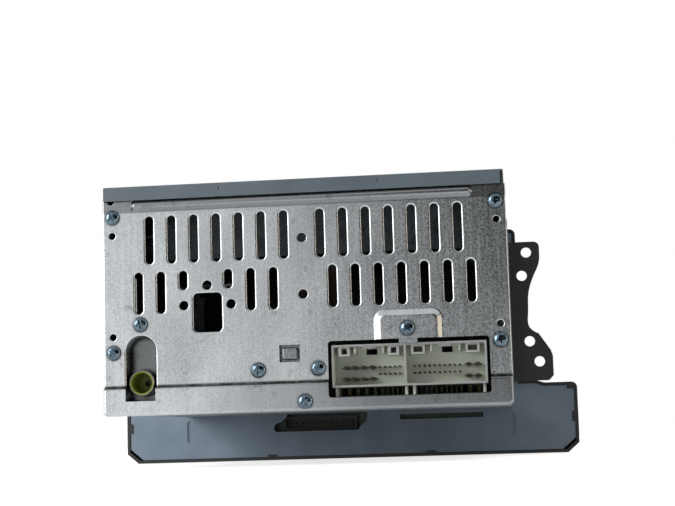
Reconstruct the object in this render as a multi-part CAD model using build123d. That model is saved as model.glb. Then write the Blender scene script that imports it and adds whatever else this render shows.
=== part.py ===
from build123d import *
import math
import os

# Car CD player head unit, double height, with a wide fascia. Sizes in millimetres.
# +X is right as seen from the front, +Y is towards the back, +Z is up.
# Pieces are drawn about the middle of the casing, with Y = 0 on the back of the dash
# bracket flanges, and saved with the middle of the dash bolt pattern at the origin.

# Casing
chassis_width = 178.0
chassis_height = 101.0
rear_y = 160.0
front_y = -5.0
cover_sheet = 0.8
cover_rise = 0.8
wall_sheet = 1.0
rear_sheet = 1.5
slip = 0.1
fold_round = 0.7
wall_flange = 6.5
front_flange = 9.3
lid_lip = 9.0
lid_flange = 6.3

# Rear panel
raised = 1.8
press_round = 1.2
pad_round = 2.0
pad_slope = 2.5
band_slope = 1.7
slope_wall = 0.4
press_foot_round = 1.0
vent_width = 3.4
vent_pitch = 10.0
vent_columns = 7
first_vent_x = 8.0
first_low_vent_x = 13.0
vent_length = 21.0
low_vent_length = 18.2
short_vent_length = 8.2
vent_from_top = 24.3
low_vent_from_top = 47.7
low_vent_above_pad = 2.0
short_vent_from_top = 42.7
hole_radius = 2.0
small_hole_radius = 1.45
strip_height = 11.9
strip_hang = 0.3
vent_rounding = 0.8
hole_rounding = 0.4
lip_depth = 8.0
lip_from_top = 17.0

# Screws
screw_head_radius = 3.1
screw_head_height = 1.9
screw_shank_radius = 1.45
screw_hole_radius = 1.55
screw_length = 5.0
tapped_gap = 0.03
seat_play = 0.05
edge_screw_inset = 4.5
small_hole_inset = 4.3
cover_head_radius = 2.8
cover_head_height = 0.6
cover_screw_length = 4.0
bracket_head_radius = 2.8
bracket_head_height = 1.4
bracket_shank_radius = 1.95
bracket_screw_length = 5.0

# Dash brackets and their bolt holes, measured out from the side of the casing
bracket_sheet = 1.5
bracket_back = 95.0
bracket_top = 38.0
bracket_foot = -36.0
flange_reach = 16.2
bolt_from_side = 9.2
bolt_rows = 47.4
bolts_above_centre = 8.6
bolt_hole_radius = 2.75
extra_upper_from_side = 6.4
extra_upper_z = 19.9
extra_lower_from_side = 14.0
extra_lower_z = -25.9
leg_window = (36.0, 40.0)
leg_window_y = 54.0

# Wiring header and its window
header_x = -45.0
header_width = 66.8
header_height = 18.3
header_depth = 16.0
header_floor = 5.0
header_wall = 0.9
header_above_bottom = 9.2
header_set_back = 1.0
window_side_gap = 1.4
window_gap_below = 4.3
window_gap_above = 1.8
bay_gap = 0.9
divider_from_middle = 1.7
large_pin = 0.75
small_pin = 0.35
pin_reach = 7.0
blade_size = (3.4, 0.45)
outer_latch_reach = 11.7
outer_latch_width = 5.9
outer_latch_hollow = 4.1
inner_latch_reach = 10.7
inner_latch_width = 4.9
inner_latch_hollow = 2.5
latch_height = 4.1
latch_hollow_height = 2.5
latch_tab_half = 2.5
latch_slot_half = 3.4

# Aerial socket and its pocket
pocket_from_side = 16.65
pocket_width = 13.3
pocket_top = 34.5
pocket_foot = 6.0
pocket_depth = 9.0
pocket_sheet = 1.2
pan_gap = 0.5
socket_above_bottom = 14.0
socket_radius = 5.6
socket_bore = 4.5
socket_sheet = 0.45
socket_in_can = 8.0
socket_free_depth = 12.5
contact_bore = 1.1
contact_sheet = 0.6

# Boards and what stands on the main board
board_sheet = 1.6
board_above_bottom = 3.8
board_side_gap = 2.5
chip_x = 7.25
chip_half_width = 14.6
chip_depth = 4.5
chip_above_bottom = 13.0
chip_height = 11.0
chip_legs = 25
chip_leg_pitch = 1.05
chip_screw_half_span = 13.05
spreader_sheet = 1.2
boss_size = (7.3, 5.4)
boss_corner = 1.2
can_size = (24.0, 46.0, 22.0)

# Fascia
shell_depth = 25.0
shell_wall = 2.2
rim = 1.6
upper_margin = 3.7
wing_margin = 33.0
shell_top_drop = 4.7
wing_top_rise = 13.5
wing_shoulder = 1.5
wing_ramp = (11.0, 16.0)
wing_foot = 23.5
wing_corner = 6.0
shell_edge_round = 2.4
front_board_gap = 14.2
fit_gap = 0.25

# Disc slot, display, keys and knobs
slot_from_top = 14.5
slot_width = 126.0
slot_height = 5.6
felt_sheet = 1.2
felt_reach = 0.55
display_width = 92.0
display_height = 23.0
display_drop = 20.5
key_travel = 0.6
key_proud = 1.5
preset_count = 6
preset_width = 14.4
preset_height = 10.0
preset_pitch = 15.6
preset_drop = 44.5
function_count = 4
function_width = 30.0
function_height = 9.0
function_pitch = 36.0
function_below_bottom = 5.0
eject_width = 15.0
eject_height = 7.0
eject_from_slot = 4.0
knob_radius = 14.0
knob_length = 15.0
knob_half_span = 70.0
knob_running_gap = 0.6
knob_wall = 1.8
knob_flutes = 30
flute_radius = 0.6
cap_radius = 6.2
cap_depth = 3.4
cap_proud = 0.5
cap_travel = 0.8
cap_stem_radius = 1.6
cap_stem_end = 8.5
stop_gap = 0.2
shaft_radius = 3.0
shaft_recess = 5.0
running_fit = 0.06

# Disc deck
deck_half_width = 73.0
deck_sheet = 1.0
deck_front = 2.0
deck_back = 134.0
disc_above_base = 10.0
disc_below_cover = 9.0
disc_centre_y = 68.0
ear_reach = 10.0
grommet_from_side = 6.5
roller_y = 10.0
roller_below_disc = 5.0
roller_shaft_radius = 1.5
sleeve_from_side = 12.0
sleeve_inner_x = 8.0
sleeve_outer_radius = 4.3
sleeve_inner_radius = 3.4
rod_radius = 1.5
rod_below_disc = 7.2
seat_gap = 0.02
journal_radius = 1.0
screw_crest = 1.7
screw_pitch = 3.0
screw_start = 14.0
sled_start = 24.0
sled_travel = 34.0
sled_half_width = 8.5
motor_shaft = 1.0
spindle_motor_radius = 12.5
loader_motor_radius = 6.0
loader_motor_length = 24.0
feed_motor_radius = 4.2
gear_module = 0.6
gear_width = 3.0
roller_teeth = 20
idler_teeth = 30
pinion_teeth = 10
mesh_play = 0.08
idler_angle = -57.8
idler_pin_radius = 1.5

# Disc clamp
pivot_y = 124.0
pivot_below_cover = 3.8
pivot_pin = 1.2
barrel_radius = 2.2
barrel_half_width = 16.8
lug_gap = 0.4
lug_sheet = 1.2
arm_sheet = 1.0
puck_radius = 13.0
puck_above_disc = 1.4
puck_stem_radius = 5.02
puck_stem_gap = 0.08

# Cutters run this far past a face, and added shapes reach this far into what they grow from
past = 5.0
weld = 0.2

# Worked out from the values above
half = chassis_width / 2
top = chassis_height / 2
bottom = -chassis_height / 2
wall_x = half - rear_sheet
wall_inner = wall_x - wall_sheet
wall_front_x = wall_x - front_flange
panel_inner_y = rear_y - rear_sheet
strip_top = bottom + strip_height
floor_foot = bottom + cover_rise
floor_top = floor_foot + cover_sheet
board_z = bottom + board_above_bottom
board_top = board_z + board_sheet
board_half = wall_inner - board_side_gap
header_foot = bottom + header_above_bottom
header_top = header_foot + header_height
header_back = rear_y - header_set_back
header_front = header_back - header_depth
header_floor_y = header_front + header_floor
window_z = (header_foot - window_gap_below, header_top + window_gap_above)
socket_x = half - pocket_from_side
socket_z = bottom + socket_above_bottom
pocket_floor_y = rear_y - pocket_depth
pan_half = pocket_width / 2 + pocket_sheet
can_back_y = pocket_floor_y - pocket_sheet - 0.6
plate_back_y = front_y
plate_front_y = front_y - cover_sheet
shell_rear_y = front_y + 0.4
shell_front_y = front_y - shell_depth
shell_inner_y = shell_front_y + shell_wall
front_board_y = shell_inner_y + front_board_gap
front_board_face = front_board_y - board_sheet
upper_half = half + upper_margin
wing_half = half + wing_margin
shell_top = top - shell_top_drop
wing_top = bottom + wing_top_rise
wing_bottom = bottom - wing_foot
slot_z = top - slot_from_top
display_z = slot_z - display_drop
preset_z = slot_z - preset_drop
function_z = bottom - function_below_bottom
knob_z = preset_z
knob_back = shell_front_y - knob_running_gap
knob_front = knob_back - knob_length
eject_x = slot_width / 2 + eject_from_slot + eject_width / 2
key_front_y = shell_front_y - key_proud
bolt_levels = (bolts_above_centre + bolt_rows / 2, bolts_above_centre - bolt_rows / 2)
disc_z = slot_z
deck_inner = deck_half_width - deck_sheet
deck_base = disc_z - disc_above_base
deck_top = disc_z + disc_below_cover
rod_z = disc_z - rod_below_disc
rod_y = (disc_centre_y - 15.0, disc_centre_y + 14.0)
screw_y = disc_centre_y - 23.0
roller_z = disc_z - roller_below_disc
gear_x = deck_half_width + 1.0
gear_end = gear_x + gear_width
idler_distance = gear_module * (roller_teeth + idler_teeth) / 2 + mesh_play
idler_y = roller_y + idler_distance * math.cos(math.radians(idler_angle))
idler_z = roller_z + idler_distance * math.sin(math.radians(idler_angle))
pinion_y = idler_y + gear_module * (idler_teeth + pinion_teeth) / 2 + mesh_play
pinion_z = idler_z
pivot_z = deck_top - pivot_below_cover
arm_z = (pivot_z - 0.8 * arm_sheet, pivot_z + 0.2 * arm_sheet)


def slab(x_range, y_range, z_range):
    size = [high - low for low, high in (x_range, y_range, z_range)]
    middle = [(high + low) / 2 for low, high in (x_range, y_range, z_range)]
    return Pos(*middle) * Box(*size)


def along_y(sketch, y_low, y_high):
    return extrude(Plane.XZ.offset(-y_high) * sketch, amount=y_high - y_low)


def along_x(sketch, x_low, x_high):
    return extrude(Plane.YZ.offset(x_low) * sketch, amount=x_high - x_low)


def along_z(sketch, z_low, z_high):
    return extrude(Plane.XY.offset(z_low) * sketch, amount=z_high - z_low)


def rod_along_y(x, z, radius, y_low, y_high):
    return along_y(Pos(x, z) * Circle(radius), y_low, y_high)


def rod_along_x(y, z, radius, x_low, x_high):
    return along_x(Pos(y, z) * Circle(radius), x_low, x_high)


def rod_along_z(x, y, radius, z_low, z_high):
    return along_z(Pos(x, y) * Circle(radius), z_low, z_high)


def both_sides(shape):
    return [shape, mirror(shape, about=Plane.YZ)]


def outline(points):
    return make_face(Polyline(*points, close=True))


def around(middle, half_size):
    return (middle - half_size, middle + half_size)


def save(name, *pieces):
    placed = [Pos(0, 0, -bolts_above_centre) * piece for piece in pieces]
    if len(placed) == 1:
        export_step(placed[0], f"parts/{name}.step")
    else:
        export_step(Compound(children=placed), f"parts/{name}.step")


os.makedirs("parts", exist_ok=True)


# Rear panel: a pressed aluminium sheet that is also the heat sink

band_x = (-half + 14.2, half - 12.6)
band_z = (top - 11.4, top - lid_flange - 0.2)
band_corner = 2.3
pad_x = (header_x - 15.0, header_x + 14.4)
pad_z = (window_z[1] - 6.0, window_z[1] + 12.5)
pad_corner = 4.5
tab_x = 6.5
tab_z = bottom + 24.6
tab_size = (9.0, 7.5)
vision_x = 42.3
vision_z = top - 57.2
vision_size = (12.5, 16.9)
vision_corner = 2.0
window_corner = 1.5
window_columns = (33.0, 43.0, 53.0)
short_vent_columns = (33.0, 53.0)
corner_hole = (half - 3.8, top - 6.3)
panel_holes = [(0, top - 26.0), (0, top - 50.8), (vision_x, top - 45.2),
               (vision_x - 10.5, top - 53.8), (vision_x + 10.5, top - 53.8)]
edge_screws = [(side * (half - edge_screw_inset), z) for side in (-1, 1) for z in (top - 13.7, bottom + 27.4)]
small_holes = [(side * (half - small_hole_inset), z) for side in (-1, 1) for z in (top - 21.8, bottom + 34.3)]
chip_screws = [(x, bottom + 17.8) for x in around(chip_x, chip_screw_half_span)]
strip_screw = (0.0, bottom + 3.7)
pad_screw = (header_x, header_top + 6.2)
socket_screw = (socket_x, bottom + 39.5)
pocket_middle = bottom + pocket_top - pocket_width / 2


def round_vent(x, z, length, y_range):
    return along_y(Pos(x, z) * Rot(0, 0, 90) * SlotOverall(length, vent_width), *y_range)


def low_vent(x, y_range):
    head = top - low_vent_from_top + low_vent_length / 2
    foot = head - low_vent_length
    if pad_x[0] - vent_width < x < pad_x[1] + vent_width:
        foot = max(foot, pad_z[1] + low_vent_above_pad)
    return round_vent(x, (head + foot) / 2, head - foot, y_range)


def flat_edges(sheet, y):
    return [edge for edge in sheet.edges()
            if abs(edge.center().Y - y) < 0.01 and edge.bounding_box().size.Y < 0.01]


def pocket_outline(grow):
    low = bottom + pocket_foot
    round_top = Pos(socket_x, pocket_middle) * Circle(pocket_width / 2 + grow)
    below = Rectangle(pocket_width + 2 * grow, pocket_middle - low + grow)
    body = Pos(socket_x, (low + pocket_middle - grow) / 2) * below
    return round_top + body


def raised_area(x_range, z_range, corner, slope, round_radius):
    width, height = x_range[1] - x_range[0], z_range[1] - z_range[0]
    place = Pos(sum(x_range) / 2, sum(z_range) / 2)
    lean = math.degrees(math.atan(slope / raised))
    outer = extrude(Plane.XZ.offset(-rear_y) * (place * RectangleRounded(width, height, corner)),
                    amount=-raised, taper=lean)
    outer = fillet(outer.edges().group_by(Axis.Y)[-1], round_radius)
    hidden = RectangleRounded(width - 2 * slope_wall, height - 2 * slope_wall, corner - slope_wall)
    hollow = extrude(Plane.XZ.offset(-panel_inner_y) * (place * hidden), amount=-raised, taper=lean)
    return outer, hollow


def rear_panel():
    face = slab((-half, half), (panel_inner_y, rear_y), (strip_top - rear_sheet, top - cover_sheet - slip))
    through = (panel_inner_y - past, rear_y + past)
    face -= both_sides(slab((wall_x, half + past), through, (top - lid_flange, top)))
    strip = slab((-half, half), (panel_inner_y, rear_y + raised), (bottom - strip_hang, strip_top))
    strip = fillet(strip.edges().filter_by(Axis.Y).group_by(Axis.Z)[0], 2.0)
    strip = fillet(strip.edges().filter_by(Axis.X).group_by(Axis.Y)[-1], press_round)
    behind_strip = slab((-half, half), (panel_inner_y - past, panel_inner_y + raised),
                        (bottom - past, strip_top - rear_sheet))
    band, band_hollow = raised_area(band_x, band_z, band_corner, band_slope, press_round)
    pad, pad_hollow = raised_area(pad_x, pad_z, pad_corner, pad_slope, pad_round)
    lips = both_sides(slab((wall_x, half), (rear_y - lip_depth, rear_y), (strip_top, top - lip_from_top)))
    pan = along_y(pocket_outline(pocket_sheet), pocket_floor_y - pocket_sheet, panel_inner_y + 0.5)
    pan_foot = slab(around(socket_x, pan_half), (pocket_floor_y - pocket_sheet, panel_inner_y + raised + 0.5),
                    (bottom + pocket_foot - pocket_sheet, strip_top - rear_sheet + weld))
    sheet = (face + strip) - behind_strip
    sheet = sheet + band + pad - band_hollow - pad_hollow
    sheet = sheet + lips + pan + pan_foot
    sheet = sheet - along_y(pocket_outline(0), pocket_floor_y, rear_y + past)
    cuts = []
    for side in (-1, 1):
        for step in range(vent_columns):
            x = side * (first_vent_x + vent_pitch * step)
            cuts.append(round_vent(x, top - vent_from_top, vent_length, through))
            low_x = side * (first_low_vent_x + vent_pitch * step)
            if low_x not in window_columns:
                cuts.append(low_vent(low_x, through))
    for x in short_vent_columns:
        cuts.append(round_vent(x, top - short_vent_from_top, short_vent_length, through))
    cuts.append(along_y(Pos(vision_x, vision_z) * RectangleRounded(*vision_size, vision_corner), *through))
    cuts.append(along_y(Pos(tab_x, tab_z) * Rectangle(*tab_size), *through))
    window = RectangleRounded(header_width + 2 * window_side_gap, window_z[1] - window_z[0], window_corner)
    cuts.append(along_y(Pos(header_x, sum(window_z) / 2) * window, *through))
    sheet = sheet - cuts
    rims = [edge for edge in flat_edges(sheet, rear_y) if abs(edge.center().X) < half - 9
            and pad_z[1] + 0.1 < edge.center().Z < band_z[0] - 0.1]
    sheet = fillet(rims, vent_rounding)
    feet = [edge for edge in flat_edges(sheet, rear_y) if window_z[1] < edge.center().Z < pad_z[1] + 0.1
            and pad_x[0] - 0.1 < edge.center().X < pad_x[1] + 0.1]
    sheet = fillet(feet, press_foot_round)
    pocket_rims = [edge for edge in flat_edges(sheet, rear_y)
                   if abs(edge.center().X - socket_x) < pocket_width / 2 + 0.1
                   and strip_top < edge.center().Z < bottom + pocket_top + 0.1]
    sheet = fillet(pocket_rims, vent_rounding)
    folds = [edge for edge in sheet.edges().filter_by(Axis.Z) if abs(edge.center().Y - rear_y) < 0.01
             and abs(abs(edge.center().X) - half) < 0.01]
    sheet = fillet(folds, fold_round)
    for x, z in panel_holes:
        sheet = sheet - rod_along_y(x, z, hole_radius, *through)
    for x, z in small_holes + [corner_hole]:
        sheet = sheet - rod_along_y(x, z, small_hole_radius, *through)
    round_rims = [edge for edge in flat_edges(sheet, rear_y) if edge.geom_type == GeomType.CIRCLE]
    hole_rims = [edge for edge in round_rims if min(abs(edge.radius - radius)
                 for radius in (hole_radius, small_hole_radius)) < 0.01]
    sheet = fillet(hole_rims, hole_rounding)
    for x, z in edge_screws + chip_screws + [strip_screw, pad_screw, socket_screw]:
        sheet = sheet - rod_along_y(x, z, screw_hole_radius, *through)
    return sheet - rod_along_y(socket_x, socket_z, socket_radius + slip, *around(pocket_floor_y, past))


# Screws: pan heads with a cross recess, one solid each


def pan_screw(head_radius, head_height, shank_radius, length):
    rim_height = head_height * 0.45
    profile = Polyline((0, -length), (shank_radius, -length), (shank_radius, 0), (head_radius, 0),
                       (head_radius, rim_height))
    shoulder = (head_radius * 0.72, head_height * 0.86)
    dome = ThreePointArc((head_radius, rim_height), shoulder, (0, head_height))
    face = make_face(profile + dome + Line((0, head_height), (0, -length)))
    body = revolve(Plane.XZ * face, axis=Axis.Z)
    recess_depth = head_height * 0.7
    arm = (head_radius * 1.15, head_radius * 0.24)
    cross = Pos(0, 0, head_height) * Box(arm[0], arm[1], 2 * recess_depth)
    cross += Pos(0, 0, head_height) * Box(arm[1], arm[0], 2 * recess_depth)
    return body - cross


def flush_body(head_radius, head_height, shank_radius, length):
    rim_height = head_height * 0.15
    profile = Polyline((0, 0), (head_radius, 0), (head_radius, -rim_height), (shank_radius, -head_height),
                       (shank_radius, -length), (0, -length), close=True)
    return revolve(Plane.XZ * make_face(profile), axis=Axis.Z)


def flush_screw(head_radius, head_height, shank_radius, length):
    recess_depth = head_height * 0.7
    cross = Box(head_radius * 1.2, head_radius * 0.26, 2 * recess_depth)
    cross += Box(head_radius * 0.26, head_radius * 1.2, 2 * recess_depth)
    return flush_body(head_radius, head_height, shank_radius, length) - cross


def rear_screws():
    screw = pan_screw(screw_head_radius, screw_head_height, screw_shank_radius, screw_length)
    seats = [(x, rear_y, z) for x, z in edge_screws + chip_screws + [socket_screw]]
    seats += [(x, rear_y + raised, z) for x, z in (strip_screw, pad_screw)]
    step_turn = 17.0
    return [Pos(*seat) * Rot(-90, 0, 0) * Rot(0, 0, step_turn * index) * screw
            for index, seat in enumerate(seats)]


def side_screws(screw, places, seat_x):
    pieces = []
    for y, z in places:
        pieces.append(Pos(seat_x, y, z) * Rot(0, 90, 0) * screw)
        pieces.append(Pos(-seat_x, y, z) * Rot(0, -90, 0) * screw)
    return pieces


# Covers: painted steel sheet with folded edges

cover_screw_places = [(y, top - 5.5) for y in (25.0, 135.0)]
lid_half = wall_x + slip + cover_sheet
lid_rear_y = rear_y + cover_sheet
lid_panel = (128.0, 112.0)
lid_panel_corner = 8.0
lid_panel_sink = 0.4
lid_slot = (14.0, 2.6)
lid_slot_pitch = 7.5
lid_slot_count = 17
lid_dimple_radius = 0.95


def top_cover():
    outer = slab((-lid_half, lid_half), (front_y, lid_rear_y), (top - lid_lip, top))
    outer = fillet(outer.edges().group_by(Axis.Z)[-1], fold_round)
    under_lid = (bottom, top - cover_sheet)
    inner = slab(around(0, wall_x + slip), (front_y + cover_sheet, rear_y), under_lid)
    lid = outer - inner
    lid -= slab((-half, half), (rear_y - rear_sheet, lid_rear_y + past), (bottom, top - lid_flange))
    lid -= both_sides(slab((wall_front_x - 0.2, half), (front_y - past, front_y + cover_sheet), under_lid))
    lid -= slab((-half, -wall_x + 0.4), (rear_y - 2 * rear_sheet, lid_rear_y + past), under_lid)
    width, depth = lid_panel
    panel = RectangleRounded(width, depth, lid_panel_corner)
    backing = RectangleRounded(width - 1, depth - 1, lid_panel_corner - 0.5)
    lid -= along_z(Pos(0, disc_centre_y) * panel, top - lid_panel_sink, top + past)
    backing_z = (top - cover_sheet - lid_panel_sink, top - lid_panel_sink - weld)
    lid += along_z(Pos(0, disc_centre_y) * backing, *backing_z)
    first_x = -lid_slot_pitch * (lid_slot_count - 1) / 2
    for step in range(lid_slot_count):
        slot = Pos(first_x + lid_slot_pitch * step, rear_y - 16) * Rot(0, 0, 90) * SlotOverall(*lid_slot)
        lid -= along_z(slot, top - cover_sheet - past, top + past)
    for x in (36.0, -34.4):
        lid -= Pos(x, lid_rear_y + lid_dimple_radius / 2, top - 2.7) * Sphere(lid_dimple_radius)
    for y, z in cover_screw_places:
        lid -= rod_along_x(y, z, screw_hole_radius, -half, half)
    return lid


standoff_x = wall_x - wall_flange - 4.6
standoffs = [(side * standoff_x, y) for side in (-1, 1) for y in (12.0, 95.0)]
standoffs += [(0.0, 12.0), (0.0, 140.0)]
standoff_radius = 3.5
groove = (120.0, 4.0)
groove_depth = 0.4
foot_slot = (11.0, 2.2)


def bottom_cover():
    flange_back = panel_inner_y + raised - slip
    flange_y = (flange_back - cover_sheet, flange_back)
    tray = slab(around(0, wall_x - slip), (front_y, flange_back), (floor_foot, floor_top))
    tray = fillet(tray.edges().filter_by(Axis.X).group_by(Axis.Y)[-1].group_by(Axis.Z)[0], fold_round)
    tray += slab(around(0, wall_x - 6), flange_y, (floor_foot + weld, bottom + 4.3))
    tray += slab(around(strip_screw[0], 6), flange_y, (floor_foot + weld, bottom + 8.0))
    tray -= slab(around(socket_x, pan_half + pan_gap), (panel_inner_y, rear_y + past), (floor_top, top))
    for x, y in standoffs:
        tray += rod_along_z(x, y, standoff_radius, floor_top - weld, board_z)
    length, width = groove
    for y in (30.0, 62.0, 94.0):
        tray -= along_z(Pos(0, y) * SlotOverall(length, width), bottom - past, floor_foot + groove_depth)
        ridge = Pos(0, y) * SlotOverall(length + 1, width + 1)
        tray += along_z(ridge, floor_top - 0.1, floor_top + groove_depth)
    for x in (42.0, -2.0, -70.0):
        tray -= along_z(Pos(x, rear_y - 6) * SlotOverall(*foot_slot), bottom - past, floor_top + past)
    return tray - rod_along_y(*strip_screw, screw_hole_radius, flange_y[0] - past, rear_y + past)


# Side walls: folded steel, with flanges that carry the rear panel, the deck and the front plate

deck_ear_y = (44.0, 112.0)
ear_half = 6.0
ear_z = (deck_top - 5.0, deck_top - 4.0)
shelf_z = deck_top - 12.0
wall_slot = (22.0, 3.0)
bracket_screw_places = [(y, z) for y in (24.0, 80.0) for z in (bracket_top - 11, bracket_foot + 12)]


def side_wall():
    z_range = (floor_top + slip, top - cover_sheet - slip)
    lean = wall_x - wall_flange
    behind = (rear_y - 12, rear_y)
    wall = slab((wall_inner, wall_x), (front_y, panel_inner_y), z_range)
    wall += slab((lean, wall_x), (panel_inner_y - wall_sheet, panel_inner_y), z_range)
    wall += slab((lean, wall_x), (front_y, panel_inner_y), (z_range[1] - wall_sheet, z_range[1]))
    wall += slab((lean, wall_x), (front_y, panel_inner_y), (z_range[0], z_range[0] + wall_sheet))
    wall += slab((wall_front_x, wall_x), (front_y, front_y + wall_sheet), z_range)
    for y in deck_ear_y:
        wall += slab((deck_half_width + 2.5, wall_x), around(y, ear_half), (shelf_z, shelf_z + wall_sheet))
    wall -= slab(around(socket_x, pan_half + pan_gap), behind, (bottom, bottom + pocket_top + 3.5))
    for x, z in edge_screws:
        wall -= rod_along_y(abs(x), z, screw_shank_radius + tapped_gap, *behind)
    for x, z in small_holes + [corner_hole]:
        wall -= rod_along_y(abs(x), z, small_hole_radius, *behind)
    for y, z in bracket_screw_places:
        wall -= rod_along_x(y, z, bracket_shank_radius + tapped_gap, wall_inner - past, half)
    for y, z in cover_screw_places:
        wall -= rod_along_x(y, z, screw_shank_radius + tapped_gap, wall_inner - past, half)
    for y in (112.0, 122.0, 132.0, 142.0):
        wall -= along_x(Pos(y, 4) * SlotOverall(*wall_slot, rotation=90), wall_inner - past, half)
    return wall


# Dash brackets: a leg along each side wall and a flange across it


def bracket():
    leg_x = (wall_x, wall_x + bracket_sheet)
    tip = half + flange_reach
    shoulder_z = bracket_top - 7.5
    upper = outline([(leg_x[0], bracket_top), (tip, bracket_top),
                     (tip, shoulder_z - 2.5), (leg_x[0], shoulder_z - 2.5)])
    upper = fillet(upper.vertices().group_by(Axis.X)[-1], 3.0)
    neck = Spline((tip, shoulder_z), (half + 13, 20.5), (half + 9.4, 9), (half + 9, 0),
                  (half + 9.4, -7.5), (half + 14, -11), tangents=[(0, -1), (1, -0.35)])
    slope = Polyline((half + 14, -11), (half + 20, -20), (half + 21, -23), (half + 21, bracket_foot + 2.5),
                     (half + 18.5, bracket_foot), (leg_x[0], bracket_foot),
                     (leg_x[0], shoulder_z), (tip, shoulder_z))
    flange = along_y(upper, -bracket_sheet, 0) + along_y(make_face(neck + slope), -bracket_sheet, 0)
    leg_z = (bracket_top + bracket_foot) / 2
    leg_y = (bracket_back - bracket_sheet) / 2
    plate = RectangleRounded(bracket_back + bracket_sheet, bracket_top - bracket_foot, 4)
    leg = along_x(Pos(leg_y, leg_z) * plate, *leg_x)
    through = (wall_x - past, half + past)
    leg -= along_x(Pos(leg_window_y, leg_z) * RectangleRounded(*leg_window, 5), *through)
    piece = flange + leg
    holes = [(bolt_from_side, z) for z in bolt_levels]
    holes += [(extra_upper_from_side, extra_upper_z), (extra_lower_from_side, extra_lower_z)]
    for from_side, z in holes:
        piece -= rod_along_y(half + from_side, z, bolt_hole_radius, -past, past)
    sink = flush_body(bracket_head_radius + seat_play, bracket_head_height + seat_play,
                      bracket_shank_radius + seat_play, bracket_screw_length)
    for y, z in bracket_screw_places:
        piece -= rod_along_x(y, z, bracket_shank_radius + seat_play, *through)
        piece -= Pos(leg_x[1], y, z) * Rot(0, 90, 0) * sink
    return piece


# Wiring header: a moulded nylon block with two bays, its pins and the steel clip that holds it

divider_x = header_x + divider_from_middle
outer_bay = (header_x - header_width / 2 + header_wall, divider_x - bay_gap / 2)
inner_bay = (divider_x + bay_gap / 2, header_x + header_width / 2 - header_wall)
bays = [(outer_bay, outer_latch_reach, outer_latch_width, outer_latch_hollow),
        (inner_bay, inner_latch_reach, inner_latch_width, inner_latch_hollow)]
ceiling = header_top - header_wall
upper_row = header_foot + 8.5
lower_row = header_foot + 3.6
small_row = header_foot + 5.5
bend_gap = 1.6
row_gap = 3.0


def pin_places():
    left = header_x + header_width / 2
    places = [(left - 5.5 - 3.83 * step, z, large_pin) for step in range(4) for z in (upper_row, lower_row)]
    places += [(left - 20.2 - 2.19 * step, z, small_pin) for step in range(5) for z in (upper_row, small_row)]
    places += [(left - 35.2 - 2.18 * step, z, small_pin) for step in range(10) for z in (upper_row, small_row)]
    places += [(left - 58.6 - 4.0 * step, z, large_pin) for step in range(2) for z in (upper_row, lower_row)]
    return places


def tail_y(z):
    return header_front - bend_gap - (row_gap if z == upper_row else 0)


def harness_header():
    middle_z = (header_foot + header_top) / 2
    block = slab(around(header_x, header_width / 2), (header_front, header_back), (header_foot, header_top))
    latch_z = ceiling - latch_height / 2 + weld / 2
    for (low_x, high_x), latch_reach, latch_width, hollow_width in bays:
        middle_x = (low_x + high_x) / 2
        bay = RectangleRounded(high_x - low_x, header_height - 2 * header_wall, 0.6)
        block -= along_y(Pos(middle_x, middle_z) * bay, header_floor_y, header_back + past)
        for side in (-1, 1):
            latch_place = Pos(middle_x + side * latch_reach, latch_z)
            tube = latch_place * Rectangle(latch_width, latch_height)
            hollow = latch_place * Rectangle(hollow_width, latch_hollow_height)
            block += along_y(tube, header_floor_y, header_back - 0.8)
            block += slab(around(middle_x + side * 6.1, 0.4), (header_floor_y, header_back - 1.2),
                          (ceiling - 2.9, ceiling + weld))
            block -= along_y(hollow, header_back - 12, header_back + past)
        lip_y = header_back - 2.2
        block -= slab(around(middle_x, latch_slot_half), (header_back - 7, lip_y),
                      (ceiling - 1, header_top + past))
        block += slab(around(middle_x, latch_tab_half), (lip_y, header_back - 0.6),
                      (ceiling - 0.9, ceiling + weld))
        block -= slab(around(middle_x - 0.4, 2.4), (header_front - past, header_floor_y + past),
                      (ceiling - 3.2, ceiling - 0.6))
    for from_middle in (header_width / 2 - 1.6, 1.7):
        for x in around(header_x, from_middle):
            block += slab(around(x, 0.6), (header_front + 1, header_back - 3), (board_top, header_foot + weld))
    for x, z, radius in pin_places():
        block -= slab(around(x, radius), (header_front - past, header_floor_y + 1), around(z, radius))
    return block


def header_pins():
    pins = []
    for x, z, radius in pin_places():
        run = slab(around(x, radius), (tail_y(z) - radius, header_floor_y + pin_reach), around(z, radius))
        drop = slab(around(x, radius), around(tail_y(z), radius), (board_z - 1.0, z))
        pin = run + drop
        if radius == large_pin:
            pin += slab(around(x, blade_size[0] / 2), (header_floor_y + 0.1, header_floor_y + pin_reach - 0.5),
                        around(z, blade_size[1] / 2))
        pins.append(pin)
    return pins


def header_clip():
    back = panel_inner_y + raised - slip
    x_range = around(pad_screw[0], 4)
    clip = slab(x_range, (back - cover_sheet, back), (header_top, pad_screw[1] + 4))
    clip += slab(x_range, (header_back - 12, back), (header_top, header_top + cover_sheet))
    return clip - rod_along_y(*pad_screw, screw_hole_radius, header_front, rear_y + past)


# Aerial socket: a plated shell on the tuner can, with a plastic insulator and a spring contact


socket_front_y = can_back_y - socket_in_can
socket_mouth_y = rear_y - 0.8
plug_stop = socket_mouth_y - socket_free_depth
contact_radius = contact_bore + contact_sheet


def aerial_shell():
    shell = rod_along_y(socket_x, socket_z, socket_radius, socket_front_y, socket_mouth_y)
    shell = chamfer(shell.edges().group_by(Axis.Y)[-1], 0.2)
    return shell - rod_along_y(socket_x, socket_z, socket_radius - socket_sheet, socket_front_y - past, rear_y)


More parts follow.
